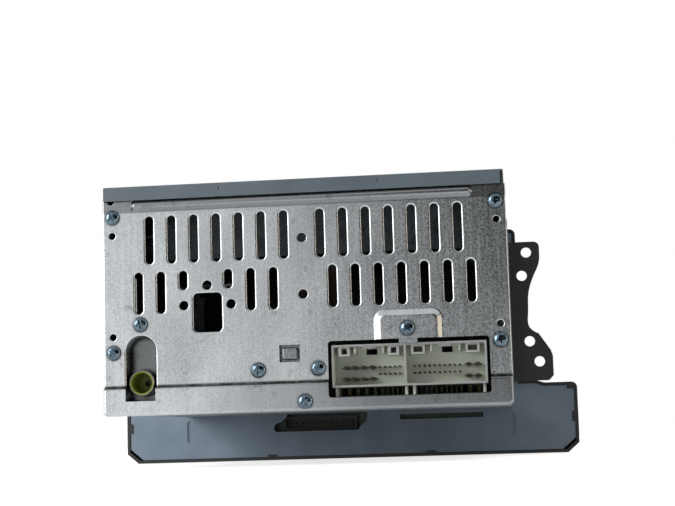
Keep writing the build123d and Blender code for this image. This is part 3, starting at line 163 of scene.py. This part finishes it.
def soft_lamp(name, place, aim, size, power, colour):
    """A rectangular lamp that faces its aim, its size in metres and its power in watts."""
    lamp = bpy.data.objects.new(name, bpy.data.lights.new(name, "AREA"))
    lamp.data.shape = "RECTANGLE"
    lamp.data.size = size[0]
    lamp.data.size_y = size[1]
    lamp.data.energy = power
    lamp.data.color = linear(colour)[:3]
    lamp.location = place
    lamp.rotation_euler = (Vector(aim) - Vector(place)).to_track_quat("-Z", "Y").to_euler()
    bpy.context.scene.collection.objects.link(lamp)


soft_lamp("key_lamp", (1.25, 1.05, 0.55), (0.02, 0.12, 0.0), (0.9, 1.1), 21.0, "#FFFFFF")
soft_lamp("side_lamp", (1.3, 0.4, 0.2), (0.0, 0.1, 0.0), (1.4, 1.2), 3.0, "#FFEBD2")
soft_lamp("warm_lamp", (-1.3, 0.45, 0.15), (0.0, 0.1, 0.0), (0.5, 0.9), 2.2, "#FFE0B8")
soft_lamp("front_lamp", (-0.6, -1.3, 0.9), (0.0, 0.0, 0.0), (1.1, 0.9), 14.0, "#FFFFFF")

# Rear panel: pressed aluminium sheet, which is also the heat sink. Its mill finish is mealy from
# pressing, with faint lines up and down from rolling. Painted shade: the band, the right part of
# the strip and the recessed places are darker, and painted shade lies along the strip's step and
# in sharp corners, patchy, mixed with random scuffs.


def new_material(name, colour, roughness, metallic=0.0):
    """A material with its principled shader, and the place on the piece in metres."""
    material = bpy.data.materials.new(name)
    material.use_nodes = True
    shader = material.node_tree.nodes["Principled BSDF"]
    shader.inputs["Base Color"].default_value = linear(colour)
    shader.inputs["Roughness"].default_value = roughness
    shader.inputs["Metallic"].default_value = metallic
    place = add_node(material, "ShaderNodeTexCoord").outputs["Object"]
    return material, shader, place


def finish_node(names, material):
    """Gives CAD nodes a material in place of the plain one that they come with."""
    for name in names:
        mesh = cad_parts[name].data
        mesh.materials.clear()
        mesh.materials.append(material)


def grain(material, place, size_mm, detail=3.0, stretch=(1, 1, 1)):
    """Noise whose features are about size_mm wide, drawn out along an axis by stretch."""
    scaled = add_node(material, "ShaderNodeMapping",
                      {"Vector": place, "Scale": [1000 / (size_mm * share) for share in stretch]})
    noise = add_node(material, "ShaderNodeTexNoise",
                     {"Vector": scaled.outputs[0], "Scale": 1.0, "Detail": detail})
    return noise.outputs["Fac"]


def spread(material, value, low, high, from_low=0.3, from_high=0.7):
    """Stretches a value from one range to another, and stops at its ends."""
    ends = {"From Min": from_low, "From Max": from_high, "To Min": low, "To Max": high}
    return add_node(material, "ShaderNodeMapRange", {"Value": value, **ends}).outputs[0]


def reckon(material, operation, first, second):
    """One sum on two values, by the name of the operation."""
    return add_node(material, "ShaderNodeMath", {0: first, 1: second}, operation=operation).outputs[0]


def tint(material, share, dark, light):
    """Goes from the dark colour to the light one; each is hex, or another tint's output."""
    mixed = add_node(material, "ShaderNodeMix", {"Factor": share}, data_type="RGBA")
    for socket, colour in ((6, dark), (7, light)):
        if isinstance(colour, str):
            mixed.inputs[socket].default_value = linear(colour)
        else:
            material.node_tree.links.new(colour, mixed.inputs[socket])
    return mixed.outputs[2]


def bump(material, shader, height, depth_mm, strength=1.0):
    """Relief of that depth, raised where the height is large."""
    relief = add_node(material, "ShaderNodeBump",
                      {"Height": height, "Distance": depth_mm / 1000, "Strength": strength})
    material.node_tree.links.new(relief.outputs[0], shader.inputs["Normal"])


def link(material, output, shader, socket):
    """Feeds one input of the shader."""
    material.node_tree.links.new(output, shader.inputs[socket])


panel_low, panel_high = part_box("rear_panel")
strip_height = 0.0125
strip_line_z = panel_low.z + strip_height
strip_dark_x = (-0.03, 0.05)
band_height = 0.0107
band_foot_z = panel_high.z - band_height
edge_blur = 0.0004
sunk_y = (panel_high.y - 0.009, panel_high.y - 0.004)
groove_reach = (0.0004, 0.0011)
crevice_reach = 0.0022
sheet, shader, place = new_material("pressed_aluminium_sheet", "#B5B9BB", 0.3, 1.0)
mealy = grain(sheet, place, 0.9, 5.0)
rolled = grain(sheet, place, 0.9, 4.0, (1, 1, 30))
blotch = grain(sheet, place, 22.0, 3.0, (1, 1, 1.6))
texture = add_node(sheet, "ShaderNodeMix", {"Factor": 0.3, 2: mealy, 3: rolled}).outputs[0]
tone = add_node(sheet, "ShaderNodeMix", {"Factor": 0.4, 2: texture, 3: blotch}).outputs[0]
metal = tint(sheet, spread(sheet, tone, 0.0, 1.0, 0.32, 0.68), "#9A9EA1", "#CACED0")
across, depth, height = add_node(sheet, "ShaderNodeSeparateXYZ", {"Vector": place}).outputs
# painted shade: the band and the strip's right part are made darker, where less light falls
strip_shade = reckon(sheet, "MULTIPLY", spread(sheet, height, 1.0, 0.0, strip_line_z - edge_blur, strip_line_z),
                  spread(sheet, across, 1.0, 0.0, *strip_dark_x))
band_shade = spread(sheet, height, 0.0, 1.0, band_foot_z - edge_blur, band_foot_z)
metal = tint(sheet, reckon(sheet, "MAXIMUM", strip_shade, band_shade), metal, "#84878A")
# painted shade: places set back from the panel's face are made darker, as shade falls in recesses
recess_shade = spread(sheet, depth, 1.0, 0.0, *sunk_y)
metal = tint(sheet, recess_shade, metal, "#6B6F70")
# painted shade in sharp corners, from ambient occlusion, and in a dark line along the strip's step
corner_shade = add_node(sheet, "ShaderNodeAmbientOcclusion", {"Distance": crevice_reach}, samples=12).outputs["AO"]
from_strip = reckon(sheet, "ABSOLUTE", reckon(sheet, "SUBTRACT", height, strip_line_z), 0.0)
groove_shade = spread(sheet, from_strip, 1.0, 0.0, *groove_reach)
shade_mask = reckon(sheet, "MAXIMUM", groove_shade, spread(sheet, corner_shade, 1.0, 0.0, 0.6, 0.9))
patchy = spread(sheet, grain(sheet, place, 3.0, 4.0), 0.85, 1.0, 0.35, 0.6)
step_and_corner_shade = reckon(sheet, "MULTIPLY", shade_mask, patchy)
scuffed = spread(sheet, grain(sheet, place, 5.0, 6.0), 0.0, 0.4, 0.62, 0.74)
# painted shade of the corners and the step, patchy, with random scuffs on top
shade_and_scuffs = tint(sheet, reckon(sheet, "MAXIMUM", step_and_corner_shade, scuffed), metal, "#2C2B2A")
link(sheet, shade_and_scuffs, shader, "Base Color")
link(sheet, spread(sheet, texture, 0.2, 0.32), shader, "Roughness")
bump(sheet, shader, mealy, 0.008, 0.5)
finish_node(["rear_panel"], sheet)

# Heat spreader: a drawn aluminium bar behind the panel, which carries the amplifier's heat to it.
# It is plain and rougher than the panel; its darker colour is painted shade, for its boss that sits
# back in the small window.

bar, shader, place = new_material("drawn_aluminium_bar", "#7E8285", 0.4, 1.0)
mottle = spread(bar, grain(bar, place, 1.2, 4.0), 0, 1)
# painted shade: darker tones than the panel's, for the boss set back in the window
link(bar, tint(bar, mottle, "#66696C", "#8E9295"), shader, "Base Color")
link(bar, spread(bar, grain(bar, place, 0.6), 0.32, 0.46), shader, "Roughness")
finish_node(["heat_spreader"], bar)

# Screws: steel with bright zinc and a blue passivation, so their highlights are sharp and
# faintly blue, with dark reflections between them.

blue_zinc, shader, place = new_material("blue_passivated_zinc", "#8FA3B0", 0.2, 1.0)
film = spread(blue_zinc, grain(blue_zinc, place, 1.1, 2.0), 0, 1)
link(blue_zinc, tint(blue_zinc, film, "#43525C", "#6D7F8B"), shader, "Base Color")
link(blue_zinc, spread(blue_zinc, grain(blue_zinc, place, 0.4), 0.08, 0.2), shader, "Roughness")
finish_node(["rear_screws", "cover_screws"], blue_zinc)

# Lid, bottom and the plate behind the fascia: folded steel with a blue-grey coat, satin and a
# little rough from the baked paint, cloudy in patches. The lid and the bottom have pale specks.

coat, shader, place = new_material("blue_grey_baked_coat", "#66757C", 0.42)
peel = grain(coat, place, 0.7)
cloud = grain(coat, place, 26.0, 3.0)
painted = tint(coat, spread(coat, cloud, 0, 1), "#4D5A62", "#5C6970")
specks = spread(coat, grain(coat, place, 1.6, 2.0), 0.0, 0.6, 0.7, 0.78)
link(coat, tint(coat, specks, painted, "#8C8F8C"), shader, "Base Color")
link(coat, spread(coat, peel, 0.36, 0.5), shader, "Roughness")
bump(coat, shader, peel, 0.012, 0.6)
finish_node(["top_cover", "bottom_cover"], coat)

plate_coat, shader, place = new_material("blue_plate_coat", "#6F8090", 0.4)
peel = grain(plate_coat, place, 0.8)
cloud = grain(plate_coat, place, 18.0, 3.0)
painted = tint(plate_coat, spread(plate_coat, cloud, 0, 1), "#718190", "#8090A0")
link(plate_coat, painted, shader, "Base Color")
link(plate_coat, spread(plate_coat, peel, 0.34, 0.5), shader, "Roughness")
bump(plate_coat, shader, peel, 0.012, 0.6)
finish_node(["fascia_back_plate"], plate_coat)

# Brackets and their screws: thicker pressed steel, which holds the unit in the dash, with a baked
# coat that is nearly matt. Its dark grey is painted shade, for the shadow that the casing casts on them.

shaded_bracket_coat, shader, place = new_material("bracket_coat_in_painted_shade", "#3D4242", 0.5)
peel = grain(shaded_bracket_coat, place, 0.7)
cloud = grain(shaded_bracket_coat, place, 14.0)
# painted shade: the coat's colour is darkened for the casing's shadow
link(shaded_bracket_coat, tint(shaded_bracket_coat, spread(shaded_bracket_coat, cloud, 0, 1), "#262929", "#2F3333"),
     shader, "Base Color")
link(shaded_bracket_coat, spread(shaded_bracket_coat, peel, 0.42, 0.58), shader, "Roughness")
bump(shaded_bracket_coat, shader, peel, 0.012, 0.6)
finish_node(["left_bracket", "right_bracket", "bracket_screws"], shaded_bracket_coat)

# Side walls and header clip: folded galvanised steel, left bare. Its zinc shows a faint spangle of
# crystals about 4.5 mm wide.

zinc, shader, place = new_material("galvanised_steel", "#A3A8AA", 0.4, 1.0)
crystals_per_metre = 220.0
spangle = add_node(zinc, "ShaderNodeTexVoronoi", {"Vector": place, "Scale": crystals_per_metre})
link(zinc, tint(zinc, spangle.outputs["Color"], "#8E9497", "#B4B9BB"), shader, "Base Color")
link(zinc, spread(zinc, grain(zinc, place, 1.2), 0.34, 0.5), shader, "Roughness")
finish_node(["left_side_wall", "right_side_wall", "header_clip"], zinc)

# Deck, clamp arm and tuner can: the same steel, pressed and folded, coloured darker grey as
# painted shade, for the shade inside the casing. Its crystals are 5 mm wide.

shaded_zinc, shader, place = new_material("zinc_sheet_in_painted_shade", "#5D6367", 0.5, 1.0)
crystal_mm = 5.0
spangle = add_node(shaded_zinc, "ShaderNodeTexVoronoi", {"Vector": place, "Scale": 1000 / crystal_mm})
# painted shade: darker tones than the side walls' zinc, for the shade inside the casing
link(shaded_zinc, tint(shaded_zinc, spangle.outputs["Color"], "#4E5458", "#6A7175"), shader, "Base Color")
link(shaded_zinc, spread(shaded_zinc, grain(shaded_zinc, place, 1.5), 0.44, 0.6), shader, "Roughness")
finish_node(["deck_tray", "deck_cover", "clamp_arm", "tuner_can"], shaded_zinc)

# Wiring header: ivory nylon, slightly green, moulded in one block. Light passes a little way
# into its thin walls, so its bays are not dark inside. The mouths of the bays are greyed by use.

nylon, shader, place = new_material("ivory_moulded_nylon", "#D2D9CF", 0.38)
shader.inputs["Subsurface Weight"].default_value = 0.8
shader.inputs["Subsurface Radius"].default_value = (0.012, 0.012, 0.009)
milk = grain(nylon, place, 5.0, 2.0)
clean = tint(nylon, spread(nylon, milk, 0, 1), "#CDD4C7", "#D9DED3")
mouth_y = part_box("harness_header")[1].y
handled_y = (mouth_y - 0.0025, mouth_y - 0.0005)
depth = add_node(nylon, "ShaderNodeSeparateXYZ", {"Vector": place}).outputs["Y"]
handled = spread(nylon, depth, 0.0, 1.0, *handled_y)
link(nylon, tint(nylon, handled, clean, "#A0A2A2"), shader, "Base Color")
link(nylon, spread(nylon, grain(nylon, place, 0.8), 0.32, 0.46), shader, "Roughness")
finish_node(["harness_header"], nylon)

# Pins and aerial contact: brass wire and strip, cut, bent and tinned. The tin is coloured dark
# brown as painted shade, for the shade deep in the bays, so the pins are dark against the nylon.

tinned, shader, place = new_material("tinned_brass", "#7C745E", 0.35, 1.0)
tin_mottle = spread(tinned, grain(tinned, place, 0.8), 0, 1)
# painted shade: both tones are dark, for the shade in the bays
link(tinned, tint(tinned, tin_mottle, "#26221A", "#4E4736"), shader, "Base Color")
link(tinned, spread(tinned, grain(tinned, place, 0.5), 0.26, 0.46), shader, "Roughness")
finish_node(["header_pins", "aerial_contact"], tinned)

# Aerial socket: a turned brass shell, nickel plated and shiny, round an olive green moulding that
# holds the contact.

nickel, shader, place = new_material("nickel_plate", "#8C887F", 0.16, 1.0)
link(nickel, spread(nickel, grain(nickel, place, 1.5), 0.1, 0.24), shader, "Roughness")
finish_node(["aerial_shell"], nickel)

olive, shader, place = new_material("olive_moulded_plastic", "#565D14", 0.38)
flow = spread(olive, grain(olive, place, 2.0), 0, 1)
link(olive, tint(olive, flow, "#6C7714", "#818E20"), shader, "Base Color")
link(olive, spread(olive, grain(olive, place, 0.8), 0.32, 0.46), shader, "Roughness")
finish_node(["aerial_insulator"], olive)

# Boards: glass laminate with a dark green solder mask over copper tracks, which show through it as
# a lighter net of lines.

laminate, shader, place = new_material("green_solder_mask", "#12271D", 0.4)
track_net_scale = 380.0
tracks = add_node(laminate, "ShaderNodeTexBrick",
                  {"Vector": place, "Scale": track_net_scale, "Mortar Size": 0.09,
                   "Color1": linear("#12261D"), "Color2": linear("#142A20"), "Mortar": linear("#24442F")})
link(laminate, tracks.outputs["Color"], shader, "Base Color")
link(laminate, spread(laminate, grain(laminate, place, 2.0), 0.34, 0.48), shader, "Roughness")
finish_node(["main_board", "front_board"], laminate)

# Small parts on the main board: black moulded resistors and logic chips, soldered flat on its
# upper face. The amplifier chip, the connector, the pickup and the switches are the same black.

epoxy, shader, place = new_material("black_moulded_epoxy", "#1B1C1E", 0.55)
link(epoxy, spread(epoxy, grain(epoxy, place, 0.3), 0.5, 0.68), shader, "Roughness")
finish_node(["amp_chip", "fascia_connector", "pickup_sled", "board_switches"], epoxy)


def add_box(shape, middle, size):
    """Adds a box to a shape that is being made, by its middle and its three sides."""
    made = bmesh.ops.create_cube(shape, size=1.0)
    bmesh.ops.scale(shape, vec=size, verts=made["verts"])
    bmesh.ops.translate(shape, vec=middle, verts=made["verts"])


def add_piece(name, shape, material, body):
    """Makes one object of a finished mesh, gives it its material, and lets it ride on a body."""
    mesh = bpy.data.meshes.new(name)
    shape.to_mesh(mesh)
    shape.free()
    mesh.materials.append(material)
    piece = bpy.data.objects.new(name, mesh)
    bpy.context.scene.collection.objects.link(piece)
    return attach(piece, body)


board_low, board_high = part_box("main_board")
random.seed(4)
chips = bmesh.new()
logic_chip_size = (0.0094, 0.0062, 0.0016)
resistor_size = (0.0032, 0.0016, 0.0009)
column_count = 12
column_pitch = 0.0118
first_column_inset = 0.015
row_count = 9
row_pitch = 0.0094
first_row_inset = 0.014
for column in range(column_count):
    for row in range(row_count):
        size = random.choice([logic_chip_size] + [resistor_size] * 3)
        x = board_low.x + first_column_inset + column * column_pitch
        y = board_low.y + first_row_inset + row * row_pitch
        add_box(chips, (x, y, board_high.z + size[2] / 2), size)
add_piece("board_parts", chips, epoxy, "unit")

# Capacitors: drawn aluminium cans, each in a plain dark blue shrink sleeve, which is glossy from the
# heat that shrank it.

sleeve, shader, place = new_material("blue_shrink_sleeve", "#1B2440", 0.28)
link(sleeve, spread(sleeve, grain(sleeve, place, 2.0), 0.22, 0.36), shader, "Roughness")
finish_node(["capacitors"], sleeve)

# Fascia shell: black ABS with a fine spark-eroded grain, as moulded dash trim has. The grain is
# drawn at 0.35 mm, coarser than the real one, so that it shows.

abs_black, shader, place = new_material("black_moulded_abs", "#101112", 0.5)
spark = grain(abs_black, place, 0.35, 4.0)
link(abs_black, spread(abs_black, spark, 0.42, 0.62), shader, "Roughness")
bump(abs_black, shader, spark, 0.03, 0.6)
finish_node(["fascia_shell"], abs_black)

# Knobs and keys: black ABS too, moulded smoother, so their edges catch the light. The turntable
# inside is moulded of the same.

key_black, shader, place = new_material("satin_black_abs", "#1D1F21", 0.36)
fine = grain(key_black, place, 0.25)
link(key_black, spread(key_black, fine, 0.3, 0.44), shader, "Roughness")
bump(key_black, shader, fine, 0.012, 0.4)
finish_node(["volume_knob", "tune_knob", "power_cap", "select_cap", "eject_button", "turntable"]
            + [f"preset_{number}" for number in range(1, 7)]
            + [f"function_key_{number}" for number in range(1, 5)], key_black)

# Marks on the keys and knobs: white pad-printed ink, a thin film with sharp edges. The presets
# are numbered, the knobs have an index line, and the power cap and eject button have plain signs.

ink, shader, place = new_material("white_pad_print", "#D8DAD8", 0.5)
link(ink, tint(ink, spread(ink, grain(ink, place, 0.6), 0, 1), "#CDD0CE", "#E0E1DF"), shader, "Base Color")
ink_film = 0.00004
upright = Matrix.Rotation(math.radians(90), 4, "X")


def on_front(piece_name):
    """The middle of a piece's front face, for a mark that is let into it by a quarter of its film."""
    low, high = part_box(piece_name)
    return Vector(((low.x + high.x) / 2, low.y - ink_film / 4, (low.z + high.z) / 2))


digit_height = 0.0046
digit_share_of_size = 0.7
for number in range(1, 7):
    figure = bpy.data.curves.new(f"figure_{number}", "FONT")
    figure.body = str(number)
    figure.size = digit_height / digit_share_of_size
    figure.align_x = "CENTER"
    figure.align_y = "CENTER"
    figure.extrude = ink_film / 2
    drawn = bpy.data.objects.new(f"figure_{number}", figure)
    bpy.context.scene.collection.objects.link(drawn)
    bpy.context.view_layer.update()
    shape = bmesh.new()
    shape.from_mesh(drawn.evaluated_get(bpy.context.evaluated_depsgraph_get()).to_mesh())
    bpy.data.objects.remove(drawn)
    place_on_key = Matrix.Translation(on_front(f"preset_{number}")) @ upright
    bmesh.ops.transform(shape, matrix=place_on_key, verts=shape.verts)
    add_piece(f"preset_mark_{number}", shape, ink, f"preset_{number}")

index_size = (0.0009, ink_film, 0.0038)
index_reach = Vector((0, 0, 0.0102))
for name in ("volume_knob", "tune_knob"):
    shape = bmesh.new()
    add_box(shape, on_front(name) + index_reach, index_size)
    add_piece(f"{name}_line", shape, ink, name)

ring_radius = 0.0027
ring_sides = 40
line_width = 0.00055
shape = bmesh.new()
bmesh.ops.create_circle(shape, cap_ends=True, radius=ring_radius, segments=ring_sides)
bmesh.ops.inset_region(shape, faces=shape.faces[:], thickness=line_width, use_boundary=True)
inside = [part for part in shape.faces if len(part.verts) == ring_sides]
bmesh.ops.delete(shape, geom=inside, context="FACES")
raised = bmesh.ops.extrude_face_region(shape, geom=shape.faces[:])["geom"]
top = [part for part in raised if isinstance(part, bmesh.types.BMVert)]
bmesh.ops.translate(shape, vec=(0, 0, ink_film), verts=top)
bmesh.ops.recalc_face_normals(shape, faces=shape.faces)
face = on_front("power_cap")
on_cap = Matrix.Translation(face + Vector((0, ink_film / 2, 0)))
bmesh.ops.transform(shape, matrix=on_cap @ upright, verts=shape.verts)
add_box(shape, face, (line_width, ink_film, ring_radius))
add_piece("power_mark", shape, ink, "power_cap")

arrow_radius = 0.0017
arrow_rise = Vector((0, 0, 0.0003))
bar_drop = Vector((0, 0, 0.0013))
face = on_front("eject_button")
shape = bmesh.new()
bmesh.ops.create_cone(shape, cap_ends=True, cap_tris=True, segments=3, radius1=arrow_radius,
                      radius2=arrow_radius, depth=ink_film)
bmesh.ops.transform(shape, matrix=Matrix.Translation(face + arrow_rise) @ upright, verts=shape.verts)
add_box(shape, face - bar_drop, (2 * arrow_radius, ink_film, line_width))
add_piece("eject_mark", shape, ink, "eject_button")

# Display: a smoked acrylic lens, moulded with a polished face, over a liquid crystal cell. With the
# unit switched off both are nearly black.

acrylic, shader, place = new_material("smoked_acrylic", "#0B0C0E", 0.06)
link(acrylic, spread(acrylic, grain(acrylic, place, 20.0), 0.04, 0.09), shader, "Roughness")
finish_node(["display_lens"], acrylic)

cell, shader, place = new_material("liquid_crystal_cell", "#2A3033", 0.25)
link(cell, spread(cell, grain(cell, place, 6.0), 0.2, 0.32), shader, "Roughness")
finish_node(["display_module"], cell)

# Slot felts: strips of black wool felt glued along both lips of the disc slot, which wipe the
# disc. Felt is matt and a little uneven.

felt, shader, place = new_material("black_wool_felt", "#121212", 0.95)
bump(felt, shader, grain(felt, place, 0.3, 5.0), 0.2, 0.8)
finish_node(["slot_felts"], felt)

# Flat ribbons: amber polyimide film over parallel copper lines. The wave's scale of 157 draws a
# line every 2 mm, coarser than the real ones, so that they show.

ribbon, shader, place = new_material("polyimide_ribbon_film", "#4A2F12", 0.35)
line_scale = 157.0
lines = add_node(ribbon, "ShaderNodeTexWave", {"Vector": place, "Scale": line_scale}, bands_direction="X")
link(ribbon, tint(ribbon, lines.outputs["Fac"], "#1E1409", "#33230F"), shader, "Base Color")
finish_node(["flat_ribbons"], ribbon)

# Loading roller's sleeves and the deck's mounts: black moulded rubber, matt, which grips the disc
# and keeps shocks from the deck.

rubber, shader, place = new_material("black_moulded_rubber", "#141414", 0.8)
link(rubber, spread(rubber, grain(rubber, place, 0.6), 0.72, 0.9), shader, "Roughness")
finish_node(["roller_sleeves", "deck_dampers"], rubber)

# Gears and clamp puck: white moulded acetal, which runs without oil. It is slippery and has a
# faintly waxy look.

acetal, shader, place = new_material("white_moulded_acetal", "#D9D9D2", 0.4)
link(acetal, spread(acetal, grain(acetal, place, 1.0), 0.34, 0.48), shader, "Roughness")
finish_node(["roller_gear", "idler_gear", "motor_pinion", "clamp_puck"], acetal)

# Shafts, rods, lead screw and motor cans: bright steel, ground or drawn, so that it mirrors the
# room in a slightly blurred way.

ground, shader, place = new_material("ground_bright_steel", "#B7BABD", 0.2, 1.0)
link(ground, spread(ground, grain(ground, place, 0.4, 2.0), 0.16, 0.3), shader, "Roughness")
finish_node(["deck_motors", "guide_rods", "lead_screw", "roller_shaft"], ground)
